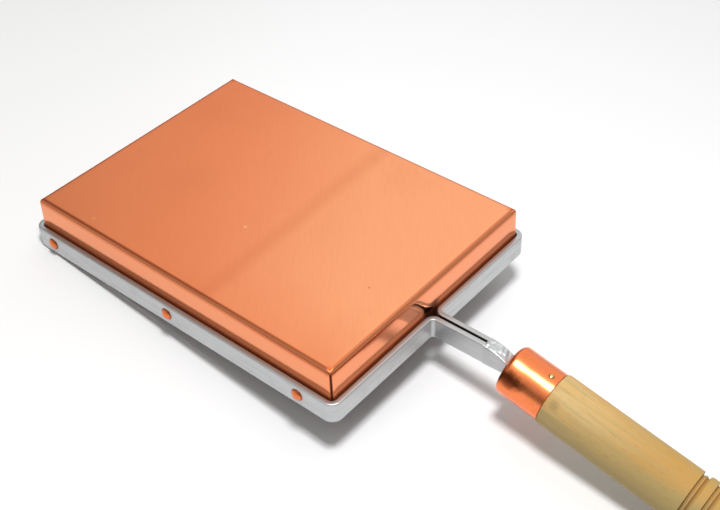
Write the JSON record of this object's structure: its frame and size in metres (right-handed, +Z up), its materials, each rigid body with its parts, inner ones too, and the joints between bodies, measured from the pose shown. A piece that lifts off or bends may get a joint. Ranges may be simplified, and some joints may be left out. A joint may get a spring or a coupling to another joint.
{
  "type": "rectangular omelette pan",
  "caption": "Rectangular copper omelette pan, upside down: folded copper body, aluminium rim band with welded neck, copper ferrule and turned wooden handle.",
  "frame": {"origin": "on the table, under the middle of the pan's whole bounding box, with the pan lying upside down as in the picture", "axes": "+X from the pan towards the end of the handle, +Y across the pan, +Z up from the table. The pan rests on the far edge of its rim band and on the round end of its handle, so its flat base leans about 6.4 degrees"},
  "size_m": [0.3892, 0.1394, 0.0455],
  "materials": {
    "copper": "polished copper walls, satin base, tin lining inside",
    "aluminium": "satin, lengthwise brushed",
    "ferrule_copper": "polished copper",
    "wood": "fine sanded, unvarnished",
    "brass": "satin"
  },
  "bodies": {
    "root": {"pan_body": "copper", "band_frame": "aluminium", "tang": "aluminium", "ferrule": "ferrule_copper", "handle": "wood", "ferrule_pin": "brass", "rivet_left_1": "copper", "rivet_left_2": "copper", "rivet_left_3": "copper", "rivet_right_1": "copper", "rivet_right_2": "copper", "rivet_right_3": "copper"}
  },
  "joints": []
}
